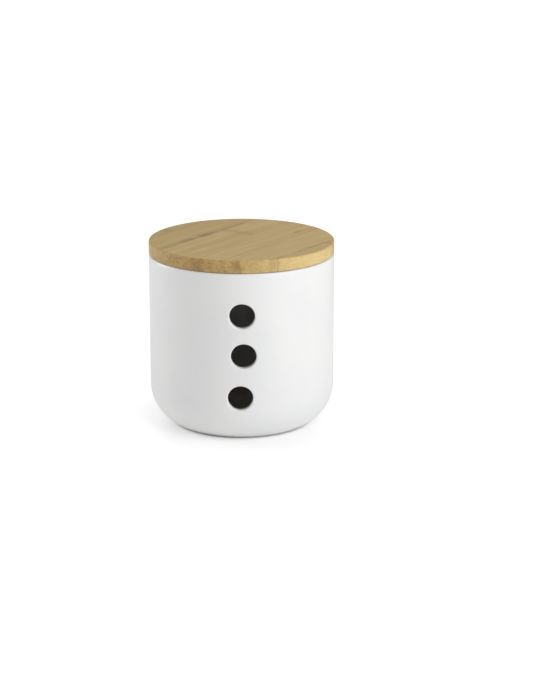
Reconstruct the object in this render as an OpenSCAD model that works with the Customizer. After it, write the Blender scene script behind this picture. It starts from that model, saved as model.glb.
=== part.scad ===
// Garlic keeper: a round stoneware pot with three vent holes in its front,
// closed by a lift-off bamboo lid with a silicone seal.
// Millimetres. +Z is up, the origin is the middle of the pot's footprint,
// and the vents face -Y.

/* [Pot] */
// Outside diameter of the pot
pot_d = 120; // [96:1:160]
// Height of the pot from the table to its rim
pot_h = 111.9; // [100:0.1:150]
// Thickness of the fired wall and floor
wall = 5.2; // [3.5:0.1:7]
// Outside radius of the rounded bottom edge
corner_r = 28; // [15:0.5:36]
// How far the flat underside cuts into that rounding
corner_cut = 3; // [1:0.1:5]
// Radius that softens the outer edge of the rim
rim_outer_r = 1.2; // [0.4:0.1:1.8]
// Radius that softens the inner edge of the rim
rim_inner_r = 1.8; // [0.4:0.1:2.4]

/* [Foot ring] */
// How far the foot ring holds the body off the table
foot_h = 0.8; // [0.6:0.1:2]
// Radial width of the unglazed ring that the pot stands on
foot_w = 5; // [3:0.1:7]
// How far the foot stands back from the edge of the underside
foot_back = 1.6; // [1:0.1:3]
// How far the hollow inside the foot ring goes up into the underside
recess_d = 0.7; // [0.2:0.1:1.6]
// Radius that softens the foot ring's two lower edges
foot_edge_r = 0.4; // [0.2:0.1:0.5]

/* [Vents] */
// Diameter of each vent hole
vent_d = 16; // [8:0.1:19]
// Spacing of the vents up the wall
vent_pitch = 26.6; // [22:0.1:30]
// How far the middle vent lies above the middle of the hollow
vent_lift = 3.4; // [0:0.1:6]
// Radius that softens the edges of the holes
vent_edge_r = 1; // [0.3:0.1:1.6]
// Sideways drift of each hole as punched, from the bottom one up
vent_drift = [-1.1, 1, 0.1];
// Height error of each hole as punched, from the bottom one up
vent_rise = [-0.3, 0.5, -0.2];

/* [Lid] */
// Thickness of the upper bamboo board
board_t = 8.3; // [6:0.1:14]
// How far the board's edge stands back from the pot's outside
board_inset = 0.1; // [0:0.1:2]
// Radius of the board's rounded upper edge
board_top_r = 1.2; // [0.4:0.1:2.5]
// Radius of the board's rounded lower edge
board_low_r = 0.5; // [0.2:0.1:1.5]
// Thickness of the plug board glued under it
plug_t = 9; // [7.5:0.1:14]
// Radius of the plug's rounded lower edge
plug_low_r = 1; // [0.3:0.1:1.5]
// Gap between the plug and the pot's inner wall
plug_gap = 3; // [2:0.1:4.5]
// Gap between the resting board and the rim
lid_gap = 0.3; // [0.2:0.05:1]

/* [Bamboo strips] */
// Number of strips across the upper board
board_strips = 6; // [4:2:8]
// Width of the board's two outer strips, which the round trims
board_edge_w = 9.9; // [5:0.1:20]
// Number of strips across the plug board
plug_strips = 5; // [3:2:7]
// Width of the plug's two outer strips, which the round trims
plug_edge_w = 15; // [8:0.1:22]
// Direction of the board's grain, turned from +X
grain_turn = 55; // [0:1:180]

/* [Seal] */
// Height of the groove for the seal
groove_h = 5; // [3.5:0.1:6]
// Depth of the groove into the plug
groove_d = 2.5; // [1.5:0.1:5]
// Play of the seal in its groove
seal_play = 0.1; // [0.05:0.05:0.3]
// Gap between the lips of the seal and the pot's inner wall
lip_gap = 0.3; // [0.2:0.05:0.6]
// Number of lips
lips = 2; // [1:1:2]
// Thickness of a lip where it leaves the ring
lip_root = 1.4; // [0.8:0.1:1.6]
// Thickness of a lip at its tip
lip_tip = 0.8; // [0.4:0.1:1.2]

/* [Hidden] */
$fn = 96;
over = 1;                                      // how far cutters run past what they cut
pot_r = pot_d / 2;
bore_r = pot_r - wall;                         // inside radius of the pot
under_r = pot_r - corner_r                     // where the flat underside meets the rounding
    + sqrt(pow(corner_r, 2) - pow(corner_r - corner_cut, 2));
floor_z = foot_h + wall;                       // top of the floor, a wall above the underside
foot_out_r = under_r - foot_back;
foot_in_r = foot_out_r - foot_w;
foot_root = foot_h + recess_d + over;          // the ring is rooted in the floor up to here

board_z = pot_h + lid_gap;                     // underside of the board
board_r = pot_r - board_inset;
lid_top = board_z + board_t;
plug_z = board_z - plug_t;                     // underside of the plug
plug_r = bore_r - plug_gap;
groove_r = plug_r - groove_d;
groove_z = plug_z + (plug_t - groove_h) / 2;   // lower side of the groove

vent_r = vent_d / 2;
vents = len(vent_drift);
vent_mid_z = (floor_z + plug_z) / 2 + vent_lift;
vent_reach = vent_r + max([for (d = vent_drift) abs(d)]);
vent_sag = bore_r - sqrt(pow(bore_r, 2) - pow(vent_reach, 2));   // the bore's fall at a hole's side

// What a rounding of radius r takes off a square corner at the origin. The corner's solid
// lies in the quarter that (sx, sy) points to.
module corner_waste(r, sx, sy) {
    mirror([sx < 0 ? 1 : 0, 0]) mirror([0, sy < 0 ? 1 : 0]) difference() {
        translate([-over, -over]) square(r + over);
        translate([r, r]) circle(r);
    }
}

// Half section of a tub of radius r from z = low to z = high. Its bottom edge is rounded, and
// its flat bottom cuts into the rounding by cut.
module tub_section(r, low, high, round_r, cut) {
    difference() {
        translate([0, low]) square([r, high - low]);
        translate([r, low - cut]) corner_waste(round_r, -1, 1);
    }
}

// Half section of a flat disc of radius r from z = low to z = high, both edges rounded.
module disc_section(r, low, high, low_r, high_r) {
    difference() {
        translate([0, low]) square([r, high - low]);
        translate([r, low]) corner_waste(low_r, -1, 1);
        if (high_r > 0) translate([r, high]) corner_waste(high_r, -1, -1);
    }
}

module pot_section() {
    difference() {
        union() {
            difference() {
                tub_section(pot_r, foot_h, pot_h, corner_r, corner_cut);
                translate([pot_r, pot_h]) corner_waste(rim_outer_r, -1, -1);
            }
            foot_section();
        }
        tub_section(bore_r, floor_z, pot_h + over, corner_r - wall, corner_cut);
        translate([bore_r, pot_h]) corner_waste(rim_inner_r, 1, -1);
        translate([0, -over]) square([foot_in_r, over + foot_h + recess_d]);
    }
}

module foot_section() {
    difference() {
        translate([foot_in_r, 0]) square([foot_w, foot_root]);
        translate([foot_in_r, 0]) corner_waste(foot_edge_r, 1, 1);
        translate([foot_out_r, 0]) corner_waste(foot_edge_r, -1, 1);
    }
}

// A hole along +Y from the pot's outside to its axis, its edges rounded at both faces.
module vent_cutter() {
    rotate([-90, 0, 0]) {
        translate([0, 0, -over]) cylinder(h = pot_r + over, r = vent_r);
        vent_flare();
        translate([0, 0, wall + vent_sag]) mirror([0, 0, 1]) vent_flare();
    }
}

module vent_flare() {
    rotate_extrude() difference() {
        translate([0, -over]) square([vent_r + vent_edge_r, vent_edge_r + over]);
        translate([vent_r + vent_edge_r, vent_edge_r]) circle(vent_edge_r);
    }
}

module pot() {
    color("#f2f2f0") difference() {
        rotate_extrude() pot_section();
        for (i = [0:vents - 1])
            translate([vent_drift[i], -pot_r,
                       vent_mid_z + (i - (vents - 1) / 2) * vent_pitch + vent_rise[i]])
                vent_cutter();
    }
}

// Slab i of n along the grain of a board of radius r, from one glue line to the next. The
// inner strips share what the outer two leave, and the outer slabs run past the board's edge.
module strip_slab(i, n, edge_w, r, low, high) {
    reach = r + over;
    strip_w = 2 * (r - edge_w) / (n - 2);
    from = i == 1 ? -reach : -r + edge_w + (i - 2) * strip_w;
    to = i == n ? reach : -r + edge_w + (i - 1) * strip_w;
    translate([-reach, from, low]) cube([2 * reach, to - from, high - low]);
}

module board_strip(i) {
    color(i % 2 == 0 ? "#c9a66b" : "#d0ae74") intersection() {
        rotate_extrude() disc_section(board_r, board_z, lid_top, board_low_r, board_top_r);
        rotate(grain_turn)
            strip_slab(i, board_strips, board_edge_w, board_r, board_z - over, lid_top + over);
    }
}

module plug_strip(i) {
    color(i % 2 == 0 ? "#c4a062" : "#cdaa70") intersection() {
        rotate_extrude() difference() {
            disc_section(plug_r, plug_z, board_z, plug_low_r, 0);
            translate([groove_r, groove_z]) square([groove_d + over, groove_h]);
        }
        rotate(grain_turn + 90)
            strip_slab(i, plug_strips, plug_edge_w, plug_r, plug_z - over, board_z + over);
    }
}

// Half section of the seal: a band that fills the groove, with lips that reach for the wall.
module seal_section() {
    band_h = groove_h - 2 * seal_play;
    lip_pitch = band_h / lips;
    translate([groove_r + seal_play, groove_z + seal_play]) square([groove_d - seal_play, band_h]);
    for (i = [0:lips - 1])
        translate([plug_r, groove_z + seal_play + (i + 0.5) * lip_pitch])
            polygon([[-over, -lip_root / 2], [0, -lip_root / 2],
                     [plug_gap - lip_gap, -lip_tip / 2], [plug_gap - lip_gap, lip_tip / 2],
                     [0, lip_root / 2], [-over, lip_root / 2]]);
}

module seal_ring() {
    color("#e4e4de") rotate_extrude() seal_section();
}

pot();
for (i = [1:board_strips])
    board_strip(i);
for (i = [1:plug_strips])
    plug_strip(i);
seal_ring();
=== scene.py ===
"""The looks of a garlic keeper: a glazed stoneware pot under a lift-off bamboo lid.

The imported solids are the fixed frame. Each piece is worked out here in millimetres in that
frame and handed to Blender in metres. +Z is up and the vents face -Y.
"""

import logging
import math
import sys
from collections.abc import Iterable, Sequence
from dataclasses import dataclass
from enum import Enum
from functools import reduce

import bmesh
import bpy
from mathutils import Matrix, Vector, noise

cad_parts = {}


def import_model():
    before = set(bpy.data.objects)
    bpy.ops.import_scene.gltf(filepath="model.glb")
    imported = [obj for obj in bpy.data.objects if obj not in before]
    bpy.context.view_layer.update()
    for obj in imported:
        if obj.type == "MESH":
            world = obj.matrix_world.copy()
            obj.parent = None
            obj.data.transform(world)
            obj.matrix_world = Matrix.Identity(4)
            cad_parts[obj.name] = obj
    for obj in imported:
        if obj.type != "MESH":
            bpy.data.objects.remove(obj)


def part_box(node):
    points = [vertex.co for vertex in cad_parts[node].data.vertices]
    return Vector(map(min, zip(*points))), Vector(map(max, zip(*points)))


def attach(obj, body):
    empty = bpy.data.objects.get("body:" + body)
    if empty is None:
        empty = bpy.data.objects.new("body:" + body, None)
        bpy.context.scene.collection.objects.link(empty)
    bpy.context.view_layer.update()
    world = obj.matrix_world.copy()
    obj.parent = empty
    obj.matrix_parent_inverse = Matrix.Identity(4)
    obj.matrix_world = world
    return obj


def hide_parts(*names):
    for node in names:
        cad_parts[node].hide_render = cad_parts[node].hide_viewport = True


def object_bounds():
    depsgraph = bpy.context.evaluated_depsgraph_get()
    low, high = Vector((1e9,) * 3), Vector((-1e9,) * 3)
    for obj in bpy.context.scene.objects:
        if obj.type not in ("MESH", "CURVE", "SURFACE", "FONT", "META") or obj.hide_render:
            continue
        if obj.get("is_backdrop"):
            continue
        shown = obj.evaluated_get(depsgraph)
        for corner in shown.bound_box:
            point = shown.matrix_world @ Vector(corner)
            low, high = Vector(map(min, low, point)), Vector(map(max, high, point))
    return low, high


log = logging.getLogger("garlic_keeper")

MM = 0.001
METRES_TO_MM = 1000.0
WELD_M = 1e-7
Colour = tuple[float, float, float]
Point = tuple[float, float, float]
Spot = tuple[float, float]
Span = tuple[float, float]
RIGHT: Point = (1.0, 0.0, 0.0)
BACK: Point = (0.0, 1.0, 0.0)
UP: Point = (0.0, 0.0, 1.0)


# --- meshes


class Shell:
    """A mesh that grows ring by ring, with its points in millimetres."""

    def __init__(self) -> None:
        """Starts with no points and no faces."""
        self.points: list[Vector] = []
        self.faces: list[tuple[int, ...]] = []

    def add(self, point: Iterable[float]) -> int:
        """Adds one point and returns its index."""
        self.points.append(Vector(point))
        return len(self.points) - 1

    def ring(self, points: Iterable[Iterable[float]]) -> list[int]:
        """Adds several points and returns their indices."""
        return [self.add(point) for point in points]

    def bridge(self, first: Sequence[int], second: Sequence[int]) -> None:
        """Joins two closed rings of equal length with quads.

        Args:
            first: Indices of one ring.
            second: Indices of the other, point by point beside the first.
        """
        count = len(first)
        for i in range(count):
            j = (i + 1) % count
            self.faces.append((first[i], first[j], second[j], second[i]))

    def next_ring(self, ring: Sequence[int], points: Iterable[Iterable[float]]) -> list[int]:
        """Adds a ring of points and joins it to the one before.

        Args:
            ring: Indices of the ring before.
            points: Places of the new ring, point by point beside it.

        Returns:
            Indices of the new ring.
        """
        added = self.ring(points)
        self.bridge(ring, added)
        return added

    def cap(self, ring: Sequence[int]) -> None:
        """Closes a flat ring with one face."""
        self.faces.append(tuple(ring))

    def piece(
        self, name: str, material: bpy.types.Material, sharp_deg: float = 38.0
    ) -> bpy.types.Object:
        """Makes the Blender object of the finished shell.

        Args:
            name: Name of the piece.
            material: Finish of the whole piece.
            sharp_deg: Edges with a wider angle than this stay sharp.

        Returns:
            The object, at the origin, with its mesh in metres.
        """
        mesh = bpy.data.meshes.new(name)
        work = bmesh.new()
        corners = [work.verts.new(point * MM) for point in self.points]
        for face in self.faces:
            work.faces.new([corners[i] for i in face])
        bmesh.ops.remove_doubles(work, verts=work.verts, dist=WELD_M)
        loose = [corner for corner in work.verts if not corner.link_faces]
        bmesh.ops.delete(work, geom=loose, context="VERTS")
        bmesh.ops.recalc_face_normals(work, faces=work.faces)
        work.to_mesh(mesh)
        work.free()
        mesh.polygons.foreach_set("use_smooth", [True] * len(mesh.polygons))
        mesh.set_sharp_from_angle(angle=math.radians(sharp_deg))
        mesh.materials.append(material)
        piece = bpy.data.objects.new(name, mesh)
        bpy.context.scene.collection.objects.link(piece)
        log.info("%s: %d points, %d faces", name, len(mesh.vertices), len(mesh.polygons))
        return piece


def arc(centre: Spot, radius: float, start: float, end: float, steps: int) -> list[Spot]:
    """Points along a circular arc.

    Args:
        centre: The arc's centre.
        radius: The arc's own radius.
        start: First angle, in degrees from the first axis towards the second.
        end: Last angle.
        steps: Number of stretches between the points.

    Returns:
        The points, both ends included.
    """
    angles = [math.radians(start + (end - start) * i / steps) for i in range(steps + 1)]
    return [(centre[0] + radius * math.cos(a), centre[1] + radius * math.sin(a)) for a in angles]


def between(first: float, last: float, steps: int) -> list[float]:
    """Evenly spaced numbers from first to last, both included."""
    return [first + (last - first) * i / steps for i in range(steps + 1)]


def bend(start: Spot, corner: Spot, end: Spot, steps: int) -> list[Spot]:
    """Softens a corner.

    Args:
        start: Where the bend leaves the first side.
        corner: The sharp corner that it replaces.
        end: Where it meets the second side.
        steps: Number of stretches on the bend.

    Returns:
        The points of the bend, both ends included.
    """
    first, middle, last = Vector(start), Vector(corner), Vector(end)
    shares = between(0.0, 1.0, steps)
    return [tuple(first * (1 - t) ** 2 + middle * 2 * t * (1 - t) + last * t**2) for t in shares]


def round_corners(corners: Sequence[Point], steps: int = 5) -> list[Spot]:
    """Rounds the corners of a closed outline.

    Args:
        corners: The corners in order, each as (x, y, rounding radius).
        steps: Number of stretches on each rounding.

    Returns:
        The points of the rounded outline.
    """
    outline: list[Spot] = []
    count = len(corners)
    for i, (x, y, radius) in enumerate(corners):
        here = Vector((x, y))
        back = (Vector(corners[i - 1][:2]) - here).normalized()
        ahead = (Vector(corners[(i + 1) % count][:2]) - here).normalized()
        half = back.angle(ahead) / 2
        reach = radius / math.tan(half)
        outline += bend(here + back * reach, here, here + ahead * reach, steps)
    return outline


# --- shader maths


class Wire:
    """A number or vector that flows through a node tree. Python's operators add Math nodes."""

    def __init__(self, graph: "Graph", socket: bpy.types.NodeSocket) -> None:
        """Wraps an output socket of the graph."""
        self.graph = graph
        self.socket = socket

    def __add__(self, other: "Wire | float") -> "Wire":
        """self + other."""
        return self.graph.math("ADD", self, other)

    __radd__ = __add__

    def __sub__(self, other: "Wire | float") -> "Wire":
        """self - other."""
        return self.graph.math("SUBTRACT", self, other)

    def __rsub__(self, other: float) -> "Wire":
        """other - self."""
        return self.graph.math("SUBTRACT", other, self)

    def __mul__(self, other: "Wire | float") -> "Wire":
        """self * other."""
        return self.graph.math("MULTIPLY", self, other)

    __rmul__ = __mul__

    def __truediv__(self, other: "Wire | float") -> "Wire":
        """self / other."""
        return self.graph.math("DIVIDE", self, other)

    def __rtruediv__(self, other: float) -> "Wire":
        """other / self."""
        return self.graph.math("DIVIDE", other, self)

    def __pow__(self, other: float) -> "Wire":
        """self to the power of other."""
        return self.graph.math("POWER", self, other)

    def __rpow__(self, other: float) -> "Wire":
        """other to the power of self."""
        return self.graph.math("POWER", other, self)

    def __abs__(self) -> "Wire":
        """The size of self without its sign."""
        return self.graph.math("ABSOLUTE", self)

    def least(self, other: "Wire | float") -> "Wire":
        """The smaller of self and other."""
        return self.graph.math("MINIMUM", self, other)

    def swing(self, width: float) -> "Wire":
        """Turns a noise from 0 to 1 into a swing about 0, over a width."""
        return (self - 0.5) * width

    def ramp(self, low: float, high: float, to_low: float = 0.0, to_high: float = 1.0) -> "Wire":
        """Maps one range smoothly onto another and stays at its ends beyond it.

        Args:
            low: The value that becomes to_low.
            high: The value that becomes to_high.
            to_low: One end of the new range.
            to_high: Its other end.

        Returns:
            The new value.
        """
        return self.graph.wire(
            "MapRange",
            {"interpolation_type": "SMOOTHSTEP"},
            {"Value": self, "From Min": low, "From Max": high, "To Min": to_low, "To Max": to_high},
        )


Feed = Wire | float | tuple


@dataclass(frozen=True)
class Cloud:
    """A cloudy noise: the size of its cells, and how many finer noises it has and how strong."""

    size: float = 1.0
    detail: float = 2.0
    rough: float = 0.5


class Graph:
    """A tree of shader nodes."""

    # The sockets of a Mix node that carry colours.
    MIX_FACTOR, MIX_FIRST, MIX_SECOND, MIX_RESULT = 0, 6, 7, 2

    def __init__(self, tree: bpy.types.NodeTree) -> None:
        """Empties the tree."""
        self.tree = tree
        tree.nodes.clear()

    def node(self, kind: str, settings: dict, inputs: dict) -> bpy.types.Node:
        """Adds one node of any type.

        Args:
            kind: Blender's name for the type, without the ShaderNode before it.
            settings: The node's own settings, set before its sockets.
            inputs: Values or links, by the name or number of the socket.

        Returns:
            The new node.
        """
        made = self.tree.nodes.new("ShaderNode" + kind)
        for name, value in settings.items():
            setattr(made, name, value)
        for key, value in inputs.items():
            if isinstance(value, Wire):
                self.tree.links.new(value.socket, made.inputs[key])
            else:
                made.inputs[key].default_value = value
        return made

    def wire(self, kind: str, settings: dict, inputs: dict, output: int | str = 0) -> Wire:
        """Adds a node as the method node does, and returns one of its outputs."""
        return Wire(self, self.node(kind, settings, inputs).outputs[output])

    def math(self, operation: str, *values: Feed) -> Wire:
        """Adds a Math node and returns its result."""
        return self.wire("Math", {"operation": operation}, dict(enumerate(values)))

    def vector(self, operation: str, *values: Feed) -> Wire:
        """Adds a Vector Math node.

        Args:
            operation: The node's operation.
            values: Values or links of its sockets, in their order.

        Returns:
            Its result, which is a number for a product or a length.
        """
        output = "Value" if operation in ("DOT_PRODUCT", "LENGTH") else "Vector"
        inputs = dict(enumerate(values))
        return self.wire("VectorMath", {"operation": operation}, inputs, output)

    def join(self, x: Feed, y: Feed, z: Feed) -> Wire:
        """Joins three numbers to a vector."""
        return self.wire("CombineXYZ", {}, {"X": x, "Y": y, "Z": z})

    def place(self) -> Wire:
        """Reads the place on the piece in the row frame.

        Returns:
            The place, in millimetres.
        """
        place = self.wire("TexCoord", {}, {}, "Object")
        inputs = {0: place, "Scale": METRES_TO_MM}
        return self.wire("VectorMath", {"operation": "SCALE"}, inputs, "Vector")

    def reach(self, at: Wire, direction: Point) -> Wire:
        """How far a place or vector reaches along a direction."""
        return self.vector("DOT_PRODUCT", at, direction)

    def facing(self, direction: Point) -> Wire:
        """How far the surface faces along a direction, from -1 to 1."""
        return self.reach(self.wire("TexCoord", {}, {}, "Normal"), direction)

    def clouds(self, at: Wire, cloud: Cloud = Cloud()) -> Wire:
        """The value of a noise at a place, from 0 to 1."""
        looks = {"Scale": 1 / cloud.size, "Detail": cloud.detail, "Roughness": cloud.rough}
        return self.wire("TexNoise", {}, {"Vector": at, **looks})

    def cells(self, at: Wire, size: float = 1.0) -> Wire:
        """The distance to the nearest of random points, one in each cell of a size."""
        return self.wire("TexVoronoi", {}, {"Vector": at, "Scale": 1 / size}, "Distance")

    def blend(self, factor: Feed, first: Feed, second: Feed) -> Wire:
        """Mixes two colours.

        Args:
            factor: 0 for the first alone, 1 for the second alone.
            first: One colour.
            second: The other colour.

        Returns:
            The mixed colour.
        """
        first, second = ((*c, 1.0) if isinstance(c, tuple) else c for c in (first, second))
        inputs = {self.MIX_FACTOR: factor, self.MIX_FIRST: first, self.MIX_SECOND: second}
        return self.wire("Mix", {"data_type": "RGBA"}, inputs, self.MIX_RESULT)

    def paint(self, colour: Feed, coats: Iterable[tuple[Feed, Feed]]) -> Feed:
        """Lays coats over a colour.

        Args:
            colour: The colour under all of them.
            coats: The cover and the colour of each coat, from the lowest up.

        Returns:
            The colour that shows.
        """
        for cover, coat in coats:
            colour = self.blend(cover, colour, coat)
        return colour

    def bump(self, height: Wire, strength: float, depth_mm: float) -> Wire:
        """Turns a height from 0 to 1 into a normal, for relief of a strength and depth."""
        inputs = {"Height": height, "Strength": strength, "Distance": depth_mm * MM}
        return self.wire("Bump", {}, inputs, "Normal")


class MaterialGraph(Graph):
    """The node tree of one material, from the object's own coordinates to its shader."""

    def __init__(self, name: str) -> None:
        """Makes a material with an empty tree.

        Args:
            name: Name of the material.
        """
        self.material = bpy.data.materials.new(name)
        self.material.use_nodes = True
        super().__init__(self.material.node_tree)

    def surface(self, inputs: dict) -> bpy.types.Material:
        """Ends the tree in a Principled shader.

        Args:
            inputs: Values or links of the shader's sockets.

        Returns:
            The finished material.
        """
        shader = self.wire("BsdfPrincipled", {}, inputs, "BSDF")
        self.node("OutputMaterial", {}, {"Surface": shader})
        return self.material


# --- finishes


@dataclass(frozen=True)
class Vent:
    """One punched hole through the front of the pot."""

    x: float
    z: float


@dataclass(frozen=True)
class GlazedStoneware:
    """Satin white glaze over a buff clay that stays bare under the foot ring.

    A span gives the two ends of a soft change, the end without the effect first. Sizes are in
    millimetres.
    """

    glaze: Colour = (0.775, 0.772, 0.765)
    glaze_cool: Colour = (0.745, 0.748, 0.752)
    # Paler glaze painted in the vents: painted light on their shaded tunnels and edges.
    vent_painted_light: Colour = (0.93, 0.928, 0.92)
    glaze_thin: Colour = (0.74, 0.725, 0.70)
    clay: Colour = (0.50, 0.43, 0.34)
    speck: Colour = (0.42, 0.36, 0.29)
    grog_light: float = 1.28
    grog_grit: Span = (0.3, 0.75)
    shades: Cloud = Cloud(38.0)
    cool_shades: Span = (0.35, 0.65)
    dips: Cloud = Cloud(7.0)
    grit: Cloud = Cloud(0.35, 3.0, 0.65)
    bare_height: Span = (0.77, 0.55)
    bare_ragged: float = 0.25
    # How far the painted light in the vents spreads past their edges, and how ragged its border is.
    vent_light_from_edge: Span = (0.75, 0.25)
    vent_light_ragged: float = 0.4
    through_wall: Span = (-30.0, 0.0)
    thin_from_rim: Span = (0.95, 0.15)
    thin_ragged: float = 0.5
    thin_share: float = 0.55
    speck_spacing: float = 2.6
    speck_radius: Span = (0.075, 0.045)
    speck_groups: Cloud = Cloud(9.0, 0.0)
    speck_group_edge: Span = (0.60, 0.66)
    speck_share: float = 0.5
    roughness: float = 0.33
    dip_roughness: float = 0.10
    thin_roughness: float = 0.08
    clay_roughness: float = 0.88
    ior: float = 1.52
    coat: float = 0.25
    coat_roughness: float = 0.16
    dip_relief: float = 0.7
    shade_relief: float = 1.2
    pit_radius: Span = (0.10, 0.0)
    pit_relief: float = 0.25
    grit_relief: float = 0.45
    relief_strength: float = 0.35
    relief_depth: float = 0.12

    def material(
        self, name: str, vents: Sequence[Vent], vent_r: float, rim_z: float
    ) -> bpy.types.Material:
        """Makes the pot's finish.

        Args:
            name: Name of the material.
            vents: The holes, whose tunnels and edges are painted a paler glaze, as painted light on
                walls that lie in shade.
            vent_r: Radius of each hole, in millimetres.
            rim_z: Height of the rim, where the glaze runs thin.

        Returns:
            The finished material.
        """
        graph = MaterialGraph(name)
        at = graph.place()
        up = graph.reach(at, UP)
        shades, dips, grit = (graph.clouds(at, c) for c in (self.shades, self.dips, self.grit))
        bare = (up + grit * self.bare_ragged).ramp(*self.bare_height)
        glazed = 1 - bare

        far = 99.0
        behind = graph.reach(at, BACK).ramp(*self.through_wall, 0.0, far)
        offsets = [graph.vector("SUBTRACT", at, (vent.x, 0.0, vent.z)) for vent in vents]
        flat = [graph.vector("MULTIPLY", offset, (1.0, 0.0, 1.0)) for offset in offsets]
        nearest = reduce(Wire.least, [graph.vector("LENGTH", aside) - vent_r for aside in flat])
        # Painted light: the vents' shaded tunnels and edges get a paler glaze colour.
        vent_light = (nearest + behind + dips * self.vent_light_ragged).ramp(*self.vent_light_from_edge)
        thin = (abs(up - rim_z) + dips * self.thin_ragged).ramp(*self.thin_from_rim)

        speck_field = graph.cells(at, self.speck_spacing)
        speckled = graph.clouds(at, self.speck_groups).ramp(*self.speck_group_edge)
        coats = [
            (shades.ramp(*self.cool_shades), self.glaze_cool),
            (vent_light, self.vent_painted_light),
            (thin * self.thin_share, self.glaze_thin),
            (speck_field.ramp(*self.speck_radius) * speckled * self.speck_share, self.speck),
            (bare, graph.blend(grit.ramp(*self.grog_grit), self.clay, self.grog())),
        ]
        roughness = dips.swing(self.dip_roughness) + thin * self.thin_roughness + self.roughness
        pits = speck_field.ramp(*self.pit_radius) * speckled
        relief = dips * self.dip_relief + shades * self.shade_relief - pits * self.pit_relief
        relief = relief * glazed + grit * bare * self.grit_relief
        return graph.surface(
            {
                "Base Color": graph.paint(self.glaze, coats),
                "Roughness": roughness * glazed + bare * self.clay_roughness,
                "IOR": self.ior,
                "Coat Weight": glazed * self.coat,
                "Coat Roughness": self.coat_roughness,
                "Normal": graph.bump(relief, self.relief_strength, self.relief_depth),
            }
        )

    def grog(self) -> Colour:
        """Colour of the light grains in the bare clay."""
        return tuple(c * self.grog_light for c in self.clay)


@dataclass(frozen=True)
class Smudge:
    """A stain of dark resin by a glue line, in millimetres along and across the grain."""

    along: float
    across: float
    half_length: float
    half_width: float
    depth: float


@dataclass(frozen=True)
class Streak:
    """A pattern drawn out along the grain: the size of its cells, in millimetres, and its noise."""

    along: float
    across: float
    up: float
    shift: float = 1.0
    noise: Cloud = Cloud()


class Grain:
    """The places along, across and up a strip, at which its patterns are drawn."""

    def __init__(self, graph: Graph, strip: "StripPlace", seed: float) -> None:
        """Finds the places.

        Args:
            graph: The node tree of the strip's finish.
            strip: Where the strip lies in its board.
            seed: Shifts the patterns, so that no two strips share them.
        """
        at = graph.place()
        self.graph, self.seed = graph, seed
        self.along = graph.reach(at, strip.along)
        self.across = graph.reach(at, strip.across)
        self.up = graph.reach(at, UP)

    def at(self, streak: Streak, across: Wire) -> Wire:
        """The place in a pattern's own cells, with the place across the grain as given."""
        shifted = self.along / streak.along + self.seed * streak.shift
        return self.graph.join(shifted, across / streak.across, self.up / streak.up)

    def clouds(self, streak: Streak, across: Wire) -> Wire:
        """A noise drawn out along the grain, with the place across it as given."""
        return self.graph.clouds(self.at(streak, across), streak.noise)


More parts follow.
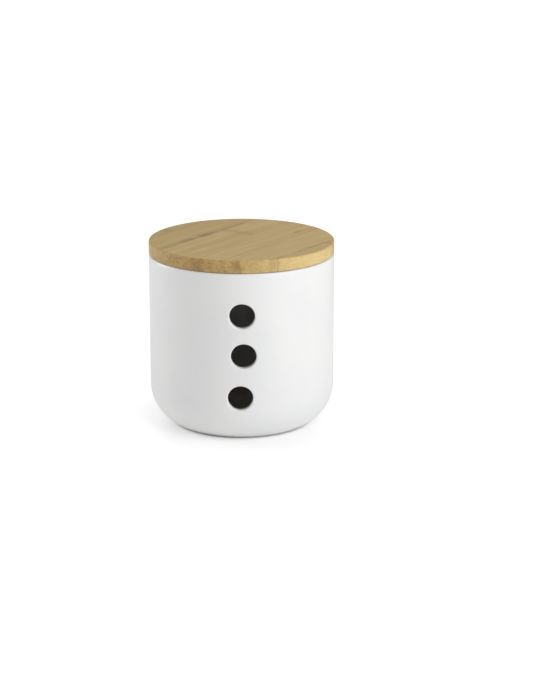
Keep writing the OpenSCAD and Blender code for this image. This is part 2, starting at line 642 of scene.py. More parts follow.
@dataclass(frozen=True)
class Bamboo:
    """One oiled bamboo strip, with its fibres along the grain and its own shade.

    A share says how strongly one colour covers what is under it. Sizes are in millimetres.
    """

    pale: Colour = (0.645, 0.465, 0.178)
    honey: Colour = (0.525, 0.352, 0.114)
    planed: Colour = (0.685, 0.525, 0.235)
    fibre: Colour = (0.255, 0.135, 0.048)
    resin: Colour = (0.235, 0.135, 0.046)
    glue: Colour = (0.16, 0.085, 0.035)
    drift: Streak = Streak(55.0, 14.0, 14.0, noise=Cloud(detail=1.0))
    bundles: Streak = Streak(48.0, 0.78, 0.78, shift=3.0)
    hairs: Streak = Streak(26.0, 0.34, 0.34, noise=Cloud(detail=3.0, rough=0.6))
    bands: Streak = Streak(95.0, 4.6, 9.0)
    stains: Streak = Streak(16.0, 7.0, 7.0, shift=5.0)
    tufts: Streak = Streak(60.0, 1.9, 1.5, shift=2.0, noise=Cloud(detail=3.0, rough=0.7))
    lane_sway: float = 2.6
    end_falloff: float = 1.8
    side_falloff: float = 3.0
    band_contrast: float = 1.2
    planed_share: float = 0.85
    hair_edge: Span = (0.42, 0.74)
    hair_share: float = 0.26
    bundle_radius: Span = (0.40, 0.16)
    pith_share: float = 0.25
    fibre_share: float = 0.24
    end_fibre_share: float = 0.40
    stain_edge: Span = (0.52, 0.78)
    stain_share: float = 0.20
    tuft_edge: Span = (0.46, 0.66)
    tuft_share: float = 0.62
    end_share: float = 0.36
    knuckle_wave_across: float = 5.0
    knuckle_wave_up: float = 6.0
    knuckle_sway: float = 5.0
    knuckle_line: Span = (1.3, 0.2)
    knuckle_halo: Span = (7.5, 0.5)
    line_share: float = 0.75
    halo_share: float = 0.38
    knuckle_share: float = 0.42
    smudge_sway_along: float = 6.0
    smudge_sway_across: float = 3.4
    smudge_edge: Span = (1.1, 0.05)
    smudge_patches: Span = (0.22, 0.62)
    glue_width: Span = (0.42, 0.16)
    glue_ragged: float = 0.35
    glue_share: float = 0.38
    top_glue_share: float = 0.34
    roughness: float = 0.36
    hair_roughness: float = 0.12
    end_roughness: float = 0.12
    ior: float = 1.46
    hair_relief: float = 0.5
    fibre_relief: float = 0.5
    glue_relief: float = 0.9
    relief_strength: float = 0.55
    relief_depth: float = 0.09

    def material(
        self,
        name: str,
        strip: "StripPlace",
        shade: float,
        seed: float,
        knuckles: Sequence[float],
        smudges: Sequence[Smudge],
    ) -> bpy.types.Material:
        """Makes the finish of one strip.

        Args:
            name: Name of the material.
            strip: Where the strip lies in its board.
            shade: How far the strip is from pale (0) to honey (1).
            seed: Shifts the patterns, so that no two strips share them.
            knuckles: Places of the culm's knuckles along the grain.
            smudges: Stains of dark resin that reach this strip.

        Returns:
            The finished material.
        """
        graph = MaterialGraph(name)
        grain = Grain(graph, strip, seed)
        endness = abs(graph.facing(strip.along)) ** self.end_falloff
        sideness = abs(graph.facing(strip.across)) ** self.side_falloff
        drift = grain.clouds(self.drift, grain.across)
        lane = grain.across + drift.swing(self.lane_sway)
        hairs = grain.clouds(self.hairs, lane)
        bands = grain.clouds(self.bands, lane)
        stains = grain.clouds(self.stains, grain.across)
        tufts = grain.clouds(self.tufts, grain.across)
        outward = (1.0, self.pith_share) if strip.skin_down else (self.pith_share, 1.0)
        skin = grain.up.ramp(strip.bottom, strip.top, *outward)
        bundles = graph.cells(grain.at(self.bundles, lane)).ramp(*self.bundle_radius) * skin
        to_glue = reduce(Wire.least, [abs(grain.across - side) for side in strip.glued_sides])
        glue = (to_glue + stains * self.glue_ragged).ramp(*self.glue_width)
        fibres = bundles * (self.fibre_share + self.end_fibre_share * endness)
        seams = glue * (self.glue_share + self.top_glue_share * abs(graph.facing(UP)))
        coats = [
            ((bands.swing(self.band_contrast) + shade).ramp(0.0, 1.0), self.honey),
            (sideness * self.planed_share, self.planed),
            (hairs.ramp(*self.hair_edge) * self.hair_share, self.fibre),
            (fibres, self.fibre),
            (stains.ramp(*self.stain_edge) * self.stain_share, self.honey),
            (endness * tufts.ramp(*self.tuft_edge) * self.tuft_share, self.fibre),
            (endness * self.end_share, self.fibre),
        ]
        if knuckles:
            marks = reduce(Wire.__add__, [self.knuckle(grain, place) for place in knuckles])
            coats.append((marks.least(1.0) * self.knuckle_share, self.fibre))
        coats += [(self.stain(grain, smudge, drift, stains), self.resin) for smudge in smudges]
        coats.append((seams, self.glue))
        relief = hairs * self.hair_relief - bundles * self.fibre_relief - glue * self.glue_relief
        roughness = hairs * self.hair_roughness + endness * self.end_roughness + self.roughness
        return graph.surface(
            {
                "Base Color": graph.paint(self.pale, coats),
                "Roughness": roughness,
                "IOR": self.ior,
                "Normal": graph.bump(relief, self.relief_strength, self.relief_depth),
            }
        )

    def knuckle(self, grain: Grain, place: float) -> Wire:
        """The mark of one knuckle of the culm.

        Args:
            grain: The strip's grain.
            place: Where the knuckle lies along it.

        Returns:
            How strongly it shows: a thin line in a wide halo.
        """
        across, up = grain.across / self.knuckle_wave_across, grain.up / self.knuckle_wave_up
        waves = grain.graph.clouds(grain.graph.join(grain.seed + place, across, up))
        away = abs(grain.along - place + waves.swing(self.knuckle_sway))
        line = away.ramp(*self.knuckle_line) * self.line_share
        return line + away.ramp(*self.knuckle_halo) * self.halo_share

    def stain(self, grain: Grain, smudge: Smudge, drift: Wire, stains: Wire) -> Wire:
        """The cover of one smudge of resin.

        Args:
            grain: The strip's grain.
            smudge: The smudge.
            drift: Slow noise that bends its outline along the grain.
            stains: Patchy noise that bends it across the grain and breaks it up.

        Returns:
            The cover, from 0 to the smudge's depth.
        """
        across = grain.across - smudge.across + stains.swing(self.smudge_sway_across)
        along = grain.along - smudge.along + drift.swing(self.smudge_sway_along)
        sideways, lengthways = across / smudge.half_width, along / smudge.half_length
        spread = sideways * sideways + lengthways * lengthways
        cover = spread.ramp(*self.smudge_edge) * stains.ramp(*self.smudge_patches)
        return cover * smudge.depth


@dataclass(frozen=True)
class Silicone:
    """Cloudy white food-grade silicone with a dusty, matte skin. Sizes are in millimetres."""

    body: Colour = (0.78, 0.78, 0.75)
    dusty: Colour = (0.70, 0.69, 0.65)
    dust: Cloud = Cloud(1.4, 4.0, 0.7)
    dust_edge: Span = (0.45, 0.8)
    smears: Cloud = Cloud(14.0)
    roughness: float = 0.42
    smear_roughness: float = 0.22
    ior: float = 1.41
    cloudy: float = 0.35
    light_reach_m: Colour = (0.004, 0.004, 0.0035)
    relief_strength: float = 0.25
    relief_depth: float = 0.05

    def material(self, name: str) -> bpy.types.Material:
        """Makes the seal's finish.

        Args:
            name: Name of the material.

        Returns:
            The finished material.
        """
        graph = MaterialGraph(name)
        at = graph.place()
        dust, smears = graph.clouds(at, self.dust), graph.clouds(at, self.smears)
        return graph.surface(
            {
                "Base Color": graph.blend(dust.ramp(*self.dust_edge), self.body, self.dusty),
                "Roughness": smears * self.smear_roughness + self.roughness,
                "IOR": self.ior,
                "Subsurface Weight": self.cloudy,
                "Subsurface Radius": self.light_reach_m,
                "Subsurface Scale": 1.0,
                "Normal": graph.bump(dust, self.relief_strength, self.relief_depth),
            }
        )


# --- pot


PLUG_STRIPS = 5


def plug_radius() -> float:
    """Radius of the lid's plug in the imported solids, the reach of its furthest strip."""
    strips = range(1, PLUG_STRIPS + 1)
    return max(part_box(f"plug_strip_{i}")[1].x for i in strips) / MM


@dataclass
class Pot:
    """The stoneware pot: a turned shell with a patch of its own round each vent.

    Sizes are in millimetres. The columns and the bands are numbers of stretches in the mesh, and
    corner_band is the length of one stretch on the rounded bottom edge.
    """

    outer_r: float
    rim_z: float
    wall: float
    corner_r: float = 28.0
    corner_cut: float = 3.0
    edge_soft: float = 0.9
    rim_outer_r: float = 1.2
    rim_inner_r: float = 1.8
    foot_h: float = 0.8
    foot_w: float = 5.0
    foot_back: float = 1.6
    foot_edge_r: float = 0.4
    foot_fillet: float = 0.3
    recess_d: float = 0.7
    recess_fillet: float = 0.5
    under_rings: tuple[float, ...] = (1.5, 13.0, 26.0)
    floor_rings: tuple[float, ...] = (32.0, 22.0, 12.0, 1.5)
    vent_r: float = 8.0
    vent_edge_r: float = 1.0
    vents: tuple[Vent, ...] = (Vent(-1.1, 31.1), Vent(1.0, 58.5), Vent(0.1, 84.4))
    oval: float = 0.05
    three_sided: float = 0.04
    unevenness: float = 0.10
    swell_size: float = 42.0
    sag: float = 0.07
    sag_size: float = 30.0
    sag_shift: Point = (7.0, 3.0, 1.0)
    sag_reach: float = 12.0
    columns: int = 192
    patch: int = 12
    patch_half_h: float = 11.7
    ring_shares: tuple[float, ...] = (0.30, 0.55, 0.76, 0.91)
    edge_bands: int = 6
    tunnel_bands: int = 4
    fillet_bands: int = 3
    soft_bands: int = 4
    rim_bands: int = 6
    corner_band: float = 2.0

    @classmethod
    def from_frame(cls) -> "Pot":
        """Takes the pot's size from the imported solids.

        Returns:
            The pot.
        """
        plug_gap = 3.0
        outer_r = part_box("pot")[1].y / MM
        return cls(outer_r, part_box("pot")[1].z / MM, outer_r - plug_radius() - plug_gap)

    @property
    def bore_r(self) -> float:
        """Inside radius."""
        return self.outer_r - self.wall

    @property
    def corner_z(self) -> float:
        """Height at which the rounded bottom edge meets the upright wall."""
        return self.foot_h + self.corner_r - self.corner_cut

    def radius_at(self, z: float, inset: float) -> float:
        """Radius of the pot's skin at a height.

        Args:
            z: The height, in millimetres.
            inset: 0 for the outside, the wall's thickness for the inside.

        Returns:
            The radius, in millimetres.
        """
        if z >= self.corner_z:
            return self.outer_r - inset
        drop = self.corner_z - z
        return self.outer_r - self.corner_r + math.sqrt((self.corner_r - inset) ** 2 - drop**2)

    def wall_rows(self, inset: float) -> tuple[list[Spot], list[int]]:
        """Half section of the upright wall from below the lowest patch to above the highest.

        Args:
            inset: 0 for the outside, the wall's thickness for the inside.

        Returns:
            The points as (radius, height), and the row at which each vent's patch starts.
        """
        heights: list[float] = []
        starts: list[int] = []
        for vent in self.vents:
            starts.append(len(heights))
            heights += between(vent.z - self.patch_half_h, vent.z + self.patch_half_h, self.patch)
        return [(self.radius_at(z, inset), z) for z in heights], starts

    def foot(self) -> list[Spot]:
        """Half section of the hollow underside and the foot ring.

        Returns:
            The points as (radius, height), from the middle outwards.
        """
        under_z = self.foot_h + self.recess_d
        cove, edge, fillet = self.recess_fillet, self.foot_edge_r, self.foot_fillet
        foot_out = self.radius_at(self.foot_h, 0.0) - self.foot_back
        foot_in = foot_out - self.foot_w
        near_cove = foot_in - cove - self.foot_fillet
        section = [(r, under_z) for r in (*self.under_rings, near_cove)]
        section += arc((foot_in - cove, under_z - cove), cove, 90, 0, self.fillet_bands)
        section += arc((foot_in + edge, edge), edge, 180, 270, self.soft_bands)
        section += arc((foot_out - edge, edge), edge, 270, 360, self.soft_bands)
        root = foot_out + fillet, self.foot_h - fillet
        return section + arc(root, fillet, 180, 90, self.fillet_bands)

    def corner(self, inset: float, flat_z: float, wall_z: float, soft: float) -> list[Spot]:
        """Half section of the rounded bottom edge, with a softened start on a flat face.

        Args:
            inset: 0 for the outside, the wall's thickness for the inside.
            flat_z: Height of the flat face that cuts into the rounding.
            wall_z: Height of the wall's lowest row.
            soft: How far the start is softened.

        Returns:
            The points from the flat face up, without the wall's lowest row.
        """
        radius, flat_r = self.corner_r - inset, self.radius_at(flat_z, inset)
        start = math.degrees(soft / radius - math.asin((self.corner_z - flat_z) / radius))
        end = -math.degrees(math.asin((self.corner_z - wall_z) / radius))
        steps = math.ceil(radius / self.corner_band)
        rounding = arc((self.outer_r - self.corner_r, self.corner_z), radius, start, end, steps)
        edge = bend((flat_r - soft, flat_z), (flat_r, flat_z), rounding[0], self.soft_bands)
        return edge + rounding[1:-1]

    def rim(self, wall_z: float) -> list[Spot]:
        """Half section of the rim.

        Args:
            wall_z: Height of the wall's highest row, which is left out on both sides.

        Returns:
            The points as (radius, height), from the outside over to the inside.
        """
        bands, outer, inner = self.rim_bands, self.rim_outer_r, self.rim_inner_r
        top, lip_z = self.rim_z - outer, self.rim_z - inner
        section = [(self.outer_r, z) for z in between(wall_z, top, bands)[1:-1]]
        section += arc((self.outer_r - outer, top), outer, 0, 90, bands)
        section += arc((self.bore_r + inner, lip_z), inner, 90, 180, bands + 1)
        return section + [(self.bore_r, z) for z in between(lip_z, wall_z, bands)[1:-1]]

    def section(self) -> tuple[list[Spot], list[int], list[int]]:
        """The whole half section, from the middle of the underside to the middle of the floor.

        Returns:
            The points as (radius, height), and the rows at which the patches start, outside and
            inside.
        """
        outer, starts = self.wall_rows(0.0)
        inner, _ = self.wall_rows(self.wall)
        low_z, high_z = outer[0][1], outer[-1][1]
        floor_z = self.foot_h + self.wall
        section = self.foot() + self.corner(0.0, self.foot_h, low_z, self.edge_soft)
        outer_starts = [len(section) + start for start in starts]
        section += outer + self.rim(high_z)
        last = len(inner) - 1
        inner_starts = [len(section) + last - start - self.patch for start in starts]
        section += inner[::-1]
        section += self.corner(self.wall, floor_z, low_z, 2 * self.edge_soft)[::-1]
        section += [(r, floor_z) for r in self.floor_rings]
        return section, outer_starts, inner_starts

    def at(self, radius: float, z: float, column: int) -> Point:
        """The point at a radius and a height in a column, counted from the front."""
        turn = 2 * math.pi * column / self.columns
        return radius * math.sin(turn), -radius * math.cos(turn), z

    def punched(self, vent: Vent, turn: float, spread: float, inset: float, sunk: float) -> Point:
        """A point round a vent.

        Args:
            vent: The hole.
            turn: Direction from its middle, in radians.
            spread: Distance past the hole's radius.
            inset: 0 for the outer skin, the wall's thickness for the inner one.
            sunk: Depth under that skin, towards the pot's axis.

        Returns:
            The point, in millimetres.
        """
        wobble = self.oval * math.sin(2 * turn + vent.z)
        wobble += self.three_sided * math.sin(3 * turn - 2 * vent.z)
        radius = self.vent_r + wobble + spread
        x, z = vent.x + radius * math.cos(turn), vent.z + radius * math.sin(turn)
        return x, -math.sqrt(self.radius_at(z, inset) ** 2 - x**2) + sunk, z

    def fill_patch(
        self, shell: Shell, vent: Vent, border: Sequence[int], inset: float
    ) -> list[int]:
        """Fills the wall between a square border of the grid and a vent's rounded edge.

        Args:
            shell: The mesh under construction.
            vent: The hole.
            border: Points of the grid round the patch, anticlockwise from the lower left.
            inset: 0 for the outer skin, the wall's thickness for the inner one.

        Returns:
            The ring at which the straight part of the hole starts.
        """
        count = len(border)
        first_corner = -135
        turns = [math.radians(360 * k / count + first_corner) for k in range(count)]
        ring = list(border)
        edge = self.vent_edge_r
        for share in self.ring_shares:
            points = []
            for k, turn in enumerate(turns):
                rim = Vector(self.punched(vent, turn, edge, inset, 0.0))
                flat = Vector(shell.points[border[k]]).lerp(rim, share)
                skin = -math.sqrt(self.radius_at(flat.z, inset) ** 2 - flat.x**2)
                points.append((flat.x, skin, flat.z))
            ring = shell.next_ring(ring, points)
        inward = 1.0 if inset == 0.0 else -1.0
        for angle in between(0.0, math.pi / 2, self.edge_bands):
            spread = edge * (1 - math.sin(angle))
            sunk = edge * (1 - math.cos(angle)) * inward
            points = [self.punched(vent, turn, spread, inset, sunk) for turn in turns]
            ring = shell.next_ring(ring, points)
        return ring

    def tunnel(self, shell: Shell, outer: Sequence[int], inner: Sequence[int]) -> None:
        """Joins the two edges of a vent by a straight hole.

        Args:
            shell: The mesh under construction.
            outer: Ring at the outer edge.
            inner: Ring at the inner edge.
        """
        ring = list(outer)
        for share in between(0.0, 1.0, self.tunnel_bands)[1:-1]:
            pairs = zip(outer, inner)
            points = [shell.points[a].lerp(shell.points[b], share) for a, b in pairs]
            ring = shell.next_ring(ring, points)
        shell.bridge(ring, inner)

    def uneven(self, point: Vector) -> Vector:
        """Draws a point in a little, as a cast and glazed wall is never quite true.

        Args:
            point: The point of a true wall, in millimetres.

        Returns:
            The point drawn towards the axis, and down where it is near the rim.
        """
        swell = 0.5 + 0.5 * noise.noise(point / self.swell_size)
        inward = self.unevenness * swell / self.outer_r
        sag = self.sag * (0.5 + 0.5 * noise.noise(point / self.sag_size + Vector(self.sag_shift)))
        near_rim = max(0.0, (point.z - self.rim_z + self.sag_reach) / self.sag_reach)
        return Vector((point.x * (1 - inward), point.y * (1 - inward), point.z - sag * near_rim))

    def build(self, finish: GlazedStoneware) -> None:
        """Builds the pot and dresses it.

        Args:
            finish: The glaze and the bare clay.
        """
        shell = Shell()
        section, outer_starts, inner_starts = self.section()
        half = self.patch // 2
        patches = [(start, vent, 0.0) for start, vent in zip(outer_starts, self.vents)]
        patches += [(start, vent, self.wall) for start, vent in zip(inner_starts, self.vents)]

        def inside(row: int, column: int, rim: int) -> bool:
            """Whether a point or a face of the grid lies inside a patch.

            Args:
                row: Its row, or that of its lowest point.
                column: Its column, or that of its first point.
                rim: 1 for a point, as those on the patch's border stay, and 0 for a face.

            Returns:
                True if the patch takes its place.
            """
            return any(
                start + rim <= row < start + self.patch and -half + rim <= column < half
                for start, _, _ in patches
            )

        grid: dict[tuple[int, int], int] = {}
        columns = range(-self.columns // 2, self.columns // 2)
        for row, (radius, z) in enumerate(section):
            for column in columns:
                if not inside(row, column, 1):
                    grid[row, column] = shell.add(self.at(radius, z, column))
        wrap = {column: column + 1 for column in columns} | {columns[-1]: columns[0]}
        for row in range(len(section) - 1):
            for column in columns:
                if not inside(row, column, 0):
                    ahead = wrap[column]
                    corners = ((row, column), (row, ahead), (row + 1, ahead), (row + 1, column))
                    shell.faces.append(tuple(grid[corner] for corner in corners))
        shell.cap([grid[0, column] for column in columns])
        shell.cap([grid[len(section) - 1, column] for column in columns])

        edges: dict[Vent, list[int]] = {}
        for start, vent, inset in patches:
            rows = list(range(start, start + self.patch + 1))
            if inset:
                rows.reverse()
            *up, top = rows
            border = [grid[up[0], column] for column in range(-half, half)]
            border += [grid[row, half] for row in up]
            border += [grid[top, column] for column in range(half, -half, -1)]
            border += [grid[row, -half] for row in [top, *up[:0:-1]]]
            edge = self.fill_patch(shell, vent, border, inset)
            if vent in edges:
                self.tunnel(shell, edges[vent], edge)
            edges[vent] = edge
        shell.points = [self.uneven(point) for point in shell.points]
        material = finish.material("glazed_stoneware", self.vents, self.vent_r, self.rim_z)
        piece = shell.piece("stoneware_pot", material)
        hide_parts("pot")
        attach(piece, "pot")


# --- lid


class Lay(Enum):
    """How a board's strips are laid: along the lid's grain, or across it."""

    ALONG = 0.0
    CROSSWISE = 90.0


@dataclass(frozen=True)
class StripPlace:
    """Where one strip lies in its board."""

    along: Point
    across: Point
    low_side: float
    high_side: float
    is_first: bool
    is_last: bool
    bottom: float
    top: float
    skin_down: bool

    def touches(self, across: float, reach: float) -> bool:
        """Whether a stain of some reach at a place across the grain gets onto the strip."""
        return self.low_side - reach < across < self.high_side + reach

    @property
    def glued_sides(self) -> tuple[float, ...]:
        """Places of the strip's glued sides, measured across the grain."""
        sides = [] if self.is_first else [self.low_side]
        return tuple(sides if self.is_last else [*sides, self.high_side])


@dataclass
class Board:
    """A round board of edge-glued bamboo strips, in millimetres.

    The groove is its depth, its lower side and its upper side. The shades and the knuckles have
    an entry for each strip, and the smudges lie on the whole board.
    """

    node: str
    slot: str
    radius: float
    bottom: float
    top: float
    strips: int
    edge_w: float
    lay: Lay
    low_r: float
    top_r: float
    groove: tuple[float, float, float] | None
    shades: tuple[float, ...]
    knuckles: tuple[tuple[float, ...], ...]
    smudges: tuple[Smudge, ...] = ()
    grain_turn: float = 55.0
    seam_r: float = 0.10
    wear: float = 0.035
    wear_reach: float = 2.0
    wear_phase: float = 2.3
    support: float = 0.5
    arc_steps: int = 26
    side_steps: int = 8
    low_steps: int = 5
    top_steps: int = 7
    first_seed: float = 0.37
    seed_step: float = 1.618
    lay_per_seed: float = 17.0

    def direction(self, quarter: float) -> Point:
        """Direction of the grain, or square to it for a quarter of 90 degrees."""
        turn = math.radians(self.grain_turn + self.lay.value + quarter)
        return math.cos(turn), math.sin(turn), 0.0

    def place(self, index: int) -> StripPlace:
        """Where a strip lies.

        Args:
            index: The strip, counted from 0.

        Returns:
            Its place.
        """
        width = 2 * (self.radius - self.edge_w) / (self.strips - 2)
        first, last = index == 0, index == self.strips - 1
        low = -self.radius if first else -self.radius + self.edge_w + (index - 1) * width
        high = self.radius if last else -self.radius + self.edge_w + index * width
        directions = self.direction(0), self.direction(90)
        return StripPlace(
            *directions, low, high, first, last, self.bottom, self.top, skin_down=index % 2 == 0
        )

    def profile(self) -> list[Spot]:
        """How far the round edge stands back at each height.

        Returns:
            The points as (depth, height), from the underside up.
        """
        low_middle = -self.low_r, self.bottom + self.low_r
        steps = [(-x, z) for x, z in arc(low_middle, self.low_r, 270, 360, self.low_steps)]
        if self.groove:
            depth, start, end = self.groove
            steps += [(0.0, start), (depth, start), (depth, end), (0.0, end)]
        if self.top_r > 0:
            top_middle = -self.top_r, self.top - self.top_r
            return steps + [(-x, z) for x, z in arc(top_middle, self.top_r, 0, 90, self.top_steps)]
        return [*steps, (0.0, self.top)]

    def outline(self, strip: StripPlace, stand_back: float, seam_back: float) -> list[Spot]:
        """The strip's outline, drawn in from its full size.

        Args:
            strip: The strip.
            stand_back: How far the round edge is drawn in.
            seam_back: How far the glued sides are drawn in.

        Returns:
            The points as (along, across), anticlockwise.
        """
        radius = self.radius - stand_back
        low, high = strip.low_side + seam_back, strip.high_side - seam_back
        start = -90.0 if strip.is_first else math.degrees(math.asin(low / radius))
        end = 90.0 if strip.is_last else math.degrees(math.asin(high / radius))
        right = arc((0.0, 0.0), radius, start, end, self.arc_steps)
        left = [(-along, across) for along, across in reversed(right)]
        far, near = (
            [(along, side[1]) for along in between(side[0], other[0], self.side_steps)[1:-1]]
            for side, other in ((right[-1], left[0]), (left[-1], right[0]))
        )
        return right + far + left + near

    def build_strip(self, index: int, finish: Bamboo) -> None:
        """Builds one strip and dresses it.

        Args:
            index: The strip, counted from 0.
            finish: The bamboo.
        """
        strip = self.place(index)
        along, across = Vector(strip.along), Vector(strip.across)
        profile = self.profile()
        levels = [(profile[0][0] + self.support, profile[0][1]), *profile]
        worn = 0.0
        if self.top_r > 0:
            levels.append((profile[-1][0] + self.support, profile[-1][1]))
            worn = self.wear * (0.5 + 0.5 * math.sin(self.wear_phase * index + 1))
        shell = Shell()
        rings = []
        for stand_back, z in levels:
            near_face = min(z - self.bottom, self.top - z)
            sunk = max(0.0, 1 - near_face / self.seam_r)
            seam_back = self.seam_r * (1 - math.sqrt(1 - sunk**2))
            rise = Vector(UP) * (z - worn * max(0.0, 1 - (self.top - z) / self.wear_reach))
            points = self.outline(strip, stand_back, seam_back)
            rings.append(shell.ring(along * a + across * c + rise for a, c in points))
        for lower, upper in zip(rings, rings[1:]):
            shell.bridge(lower, upper)
        shell.cap(rings[0])
        shell.cap(rings[-1])
        seed = self.first_seed + self.seed_step * index + self.lay.value / self.lay_per_seed
        name = f"{self.node}_{index + 1}"
        smudges = [s for s in self.smudges if strip.touches(s.across, s.half_width)]
        look = self.shades[index], seed, self.knuckles[index], smudges
        material = finish.material(f"{self.slot}_{index + 1}", strip, *look)
        piece = shell.piece(f"bamboo_{name}", material)
        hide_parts(name)
        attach(piece, "lid")

    def build(self, finish: Bamboo) -> None:
        """Builds every strip of the board."""
        for index in range(self.strips):
            self.build_strip(index, finish)


@dataclass
class Seal:
    """The silicone ring: a band in the plug's groove, with lips that reach for the wall.

    Sizes are in millimetres, and band_in, band_out and reach are distances from the pot's axis.
    """

    band_in: float
    band_out: float
    reach: float
    bottom: float
    top: float
    lips: int = 2
    lip_root: float = 1.4
    lip_tip: float = 0.8
    root_fillet: float = 0.16
    tip_round: float = 0.32
    back_round: float = 0.3
    face_round: float = 0.35
    columns: int = 192

    def section(self) -> list[Spot]:
        """The half section, rounded as moulded silicone is.

        Returns:
            The closed outline as (radius, height).
        """
        corners = [
            (self.band_in, self.bottom, self.back_round),
            (self.band_out, self.bottom, self.face_round),
        ]
        pitch = (self.top - self.bottom) / self.lips
        for i in range(self.lips):
            middle = self.bottom + (i + 0.5) * pitch
            corners += [
                (self.band_out, middle - self.lip_root / 2, self.root_fillet),
                (self.reach, middle - self.lip_tip / 2, self.tip_round),
                (self.reach, middle + self.lip_tip / 2, self.tip_round),
                (self.band_out, middle + self.lip_root / 2, self.root_fillet),
            ]
        corners += [
            (self.band_out, self.top, self.face_round),
            (self.band_in, self.top, self.back_round),
        ]
        return round_corners(corners)

    def build(self, finish: Silicone) -> None:
        """Builds the seal and dresses it.

        Args:
            finish: The silicone.
        """
        shell = Shell()
        rings = []
        section = self.section()
        for column in range(self.columns):
            turn = 2 * math.pi * column / self.columns
            x, y = math.cos(turn), math.sin(turn)
            rings.append(shell.ring((r * x, r * y, z) for r, z in section))
        for first, second in zip(rings, rings[1:] + rings[:1]):
            shell.bridge(first, second)
        sharp_deg = 50.0
        piece = shell.piece("silicone_seal", finish.material("cloudy_silicone"), sharp_deg)
        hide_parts("seal_ring")
        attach(piece, "lid")


@dataclass
class Lid:
    """The lid: a bamboo board, the plug glued crosswise under it, and the seal."""

    board: Board
    plug: Board
    seal: Seal

    @classmethod
    def from_frame(cls) -> "Lid":
        """Takes the lid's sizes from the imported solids.

        Returns:
            The lid.
        """
        low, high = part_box("board_strip_3")
        plug_low, plug_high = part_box("plug_strip_3")
        seal_low, seal_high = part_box("seal_ring")
        inset, groove_d, play = 0.1, 2.5, 0.1
        plug_r = plug_radius()
        board = Board(
            node="board_strip",
            slot="bamboo_board",
            radius=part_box("pot")[1].y / MM - inset,
            bottom=low.z / MM,
            top=high.z / MM,
            strips=6,
            edge_w=9.9,
            lay=Lay.ALONG,
            low_r=0.5,
            top_r=1.2,
            groove=None,
            shades=(0.42, 0.36, 0.46, 0.50, 0.76, 0.80),
            knuckles=((22.0,), (), (), (14.0,), (), (-8.0,)),
            smudges=(
                Smudge(-40.0, 26.0, 16.0, 3.2, 0.50),
                Smudge(-22.0, 26.2, 10.0, 3.6, 0.62),
                Smudge(-2.0, 25.6, 13.0, 4.2, 0.72),
                Smudge(24.0, 25.8, 26.0, 2.4, 0.42),
                Smudge(-6.0, 31.0, 7.0, 2.2, 0.34),
                Smudge(38.0, -19.0, 7.0, 3.0, 0.50),
                Smudge(-61.0, -8.0, 3.0, 8.0, 0.45),
                Smudge(-52.5, -32.5, 3.5, 3.5, 0.70),
                Smudge(-34.0, -48.5, 14.0, 2.4, 0.36),
                Smudge(4.0, -49.5, 22.0, 1.8, 0.24),
            ),
        )
        plug = Board(
            node="plug_strip",
            slot="bamboo_plug",
            radius=plug_r,
            bottom=plug_low.z / MM,
            top=plug_high.z / MM,
            strips=PLUG_STRIPS,
            edge_w=15.0,
            lay=Lay.CROSSWISE,
            low_r=1.0,
            top_r=0.0,
            groove=(groove_d, seal_low.z / MM - play, seal_high.z / MM + play),
            shades=(0.48, 0.36, 0.58, 0.30, 0.52),
            knuckles=((), (-18.0,), (), (9.0,), ()),
        )
        seal = Seal(
            band_in=plug_r - groove_d + play,
            band_out=plug_r,
            reach=seal_high.y / MM,
            bottom=seal_low.z / MM,
            top=seal_high.z / MM,
        )
        return cls(board, plug, seal)

    def build(self, bamboo: Bamboo, silicone: Silicone) -> None:
        """Builds every piece of the lid.

        Args:
            bamboo: Finish of the strips.
            silicone: Finish of the seal.
        """
        self.board.build(bamboo)
        self.plug.build(bamboo)
        self.seal.build(silicone)


# --- studio


@dataclass(frozen=True)
class SoftBox:
    """One large soft lamp, aimed at the middle of the keeper: degrees, metres and watts."""

    name: str
    azimuth: float
    elevation: float
    distance: float
    width: float
    height: float
    power: float

    def hang(self, target: Vector) -> None:
        """Hangs the lamp.

        Args:
            target: The point that it faces, in metres.
        """
        lamp = bpy.data.lights.new(self.name, "AREA")
        lamp.shape = "RECTANGLE"
        lamp.size, lamp.size_y = self.width, self.height
        lamp.energy = self.power
        holder = bpy.data.objects.new(self.name, lamp)
        turn, rise = math.radians(self.azimuth), math.radians(self.elevation)
        level = Vector((math.sin(turn), -math.cos(turn), 0.0))
        out = level * math.cos(rise) + Vector(UP) * math.sin(rise)
        holder.location = target + out * self.distance
        holder.rotation_euler = (-out).to_track_quat("-Z", "Y").to_euler()
        bpy.context.scene.collection.objects.link(holder)


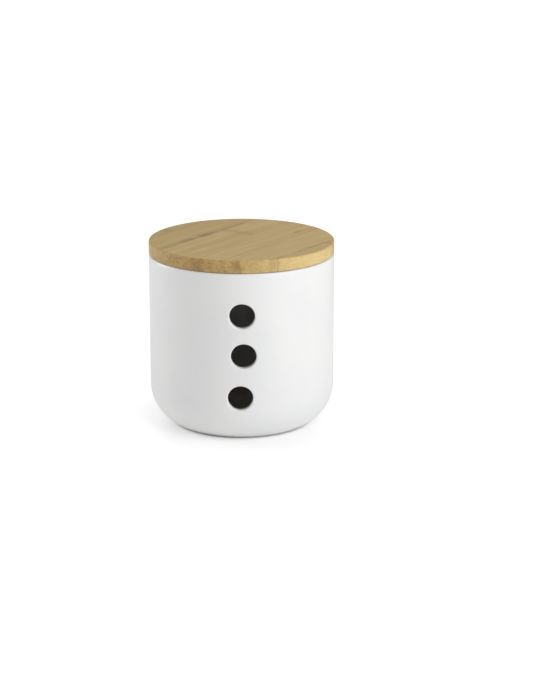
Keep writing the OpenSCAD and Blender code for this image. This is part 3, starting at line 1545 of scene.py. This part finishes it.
@dataclass
class Studio:
    """The pale floor, the soft lamps, the bright surround and the camera.

    Spans and reaches on the floor are in millimetres from the pot's axis.
    """

    camera_mm: Point = (18.36, -1307.2, 424.13)
    camera_dip: float = 16.143
    focal_px: float = 2080.65
    picture_long_px: int = 700
    sensor_mm: float = 36.0
    camera_sees: Span = (0.05, 50.0)
    front_turn: float = 0.85
    surround: float = 0.53
    white: Colour = (1.0, 1.0, 1.0)
    floor: Colour = (0.90, 0.90, 0.90)
    floor_light: Colour = (0.92, 0.92, 0.92)
    floor_mottle: Cloud = Cloud(900.0, 1.0)
    floor_roughness: float = 0.7
    floor_reach: float = 6000.0
    # The floor's glow dips near the pot, which paints a contact shadow round its base.
    near_glow: float = 0.10
    side_glow: float = 0.15
    wide_glow: float = 0.34
    far_glow: float = 0.62
    bounce_glow: float = 0.10
    wide_span: Span = (56.0, 120.0)
    side_span: Span = (40.0, 66.0)
    far_span: Span = (350.0, 2200.0)
    shade_span: Span = (43.7, 46.3)
    under_pot: Span = (42.3, 42.5)
    lamps: tuple[SoftBox, ...] = (
        SoftBox("key_softbox", 50.0, 24.0, 1.1, 1.0, 1.0, 7.2),
        SoftBox("fill_softbox", -110.0, 12.0, 1.1, 0.5, 0.7, 4.3),
    )

    def set_camera(self) -> None:
        """Puts the camera where the photograph was taken from, turned so that the vents face -Y."""
        turn = -math.radians(self.front_turn)
        x, y, z = self.camera_mm
        lens = bpy.data.cameras.new("photo_view")
        lens.sensor_width = self.sensor_mm
        lens.lens = self.focal_px / self.picture_long_px * self.sensor_mm
        lens.clip_start, lens.clip_end = self.camera_sees
        camera = bpy.data.objects.new("photo_view", lens)
        cos, sin = math.cos(turn), math.sin(turn)
        camera.location = Vector((x * cos - y * sin, x * sin + y * cos, z)) * MM
        camera.rotation_euler = (math.radians(90 - self.camera_dip), 0.0, turn)
        bpy.context.scene.collection.objects.link(camera)
        bpy.context.scene.camera = camera

    def floor_glow(self, graph: Graph) -> Wire:
        """Light that the floor gives off, as the photo's floor fades to plain white.

        Args:
            graph: The node tree of the floor's paint.

        Returns:
            The glow, which only the camera sees but for a little that reaches the pot.
        """
        at = graph.place()
        away, aside = graph.vector("LENGTH", at), abs(graph.reach(at, RIGHT))
        seen = graph.wire("LightPath", {}, {}, "Is Camera Ray")
        # Painted contact shadow: the glow is low near the pot (near_glow rising to wide_glow),
        # raised to either side (side_glow) and gone at the pot's edge (shade_span).
        glow = away.ramp(*self.wide_span, self.near_glow, self.wide_glow)
        glow = glow + aside.ramp(*self.side_span, 0.0, self.side_glow)
        glow = glow + away.ramp(*self.far_span, 0.0, self.far_glow - self.wide_glow)
        return away.ramp(*self.shade_span) * (seen * glow + self.bounce_glow)

    def lay_floor(self) -> None:
        """Lays a wide floor that hides nothing from below and lights the underside."""
        shell, reach = Shell(), self.floor_reach
        corners = ((-reach, -reach), (reach, -reach), (reach, reach), (-reach, reach))
        shell.cap(shell.ring((x, y, 0.0) for x, y in corners))
        graph = MaterialGraph("pale_floor")
        glow = self.floor_glow(graph)
        mottle = graph.clouds(graph.place(), self.floor_mottle)
        inputs = {
            "Base Color": graph.blend(mottle, self.floor, self.floor_light),
            "Roughness": self.floor_roughness,
            "Emission Color": graph.join(glow, glow, glow),
            "Emission Strength": 1.0,
        }
        paint = graph.wire("BsdfPrincipled", {}, inputs, "BSDF")
        clear = graph.wire("BsdfTransparent", {}, {}, "BSDF")
        below = graph.wire("NewGeometry", {}, {}, "Backfacing")
        away = graph.vector("LENGTH", graph.place())
        open_to = 1 - (1 - below) * away.ramp(*self.under_pot)
        both = graph.wire("MixShader", {}, {0: open_to, 1: paint, 2: clear}, "Shader")
        graph.node("OutputMaterial", {}, {"Surface": both})
        shell.piece("pale_floor", graph.material)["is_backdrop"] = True

    def light_surround(self) -> None:
        """Lights the surround, which the camera sees as plain white."""
        world = bpy.data.worlds.new("bright_surround")
        bpy.context.scene.world = world
        world.use_nodes = True
        graph = Graph(world.node_tree)
        seen = graph.wire("LightPath", {}, {}, "Is Camera Ray")
        colour = (*self.white, 1.0)
        lighting, white = (
            graph.wire("Background", {}, {"Color": colour, "Strength": strength})
            for strength in (self.surround, 1.0)
        )
        both = graph.wire("MixShader", {}, {0: seen, 1: lighting, 2: white}, "Shader")
        graph.node("OutputWorld", {}, {"Surface": both})

    def build(self, target: Vector) -> None:
        """Sets up the whole studio.

        Args:
            target: The point that the lamps face, in metres.
        """
        self.set_camera()
        self.lay_floor()
        self.light_surround()
        for lamp in self.lamps:
            lamp.hang(target)
        bpy.context.scene.view_settings.view_transform = "Standard"
        log.info("studio: %d lamps", len(self.lamps))


def main() -> None:
    """Builds the keeper round its frame, then the studio, whose lamps face the middle of the frame.
    """
    logging.basicConfig(level=logging.INFO, format="%(name)s: %(message)s", stream=sys.stdout)
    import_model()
    cad_low, cad_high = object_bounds()
    Pot.from_frame().build(GlazedStoneware())
    Lid.from_frame().build(Bamboo(), Silicone())
    Studio().build((cad_low + cad_high) / 2)


if __name__ == "__main__":
    main()
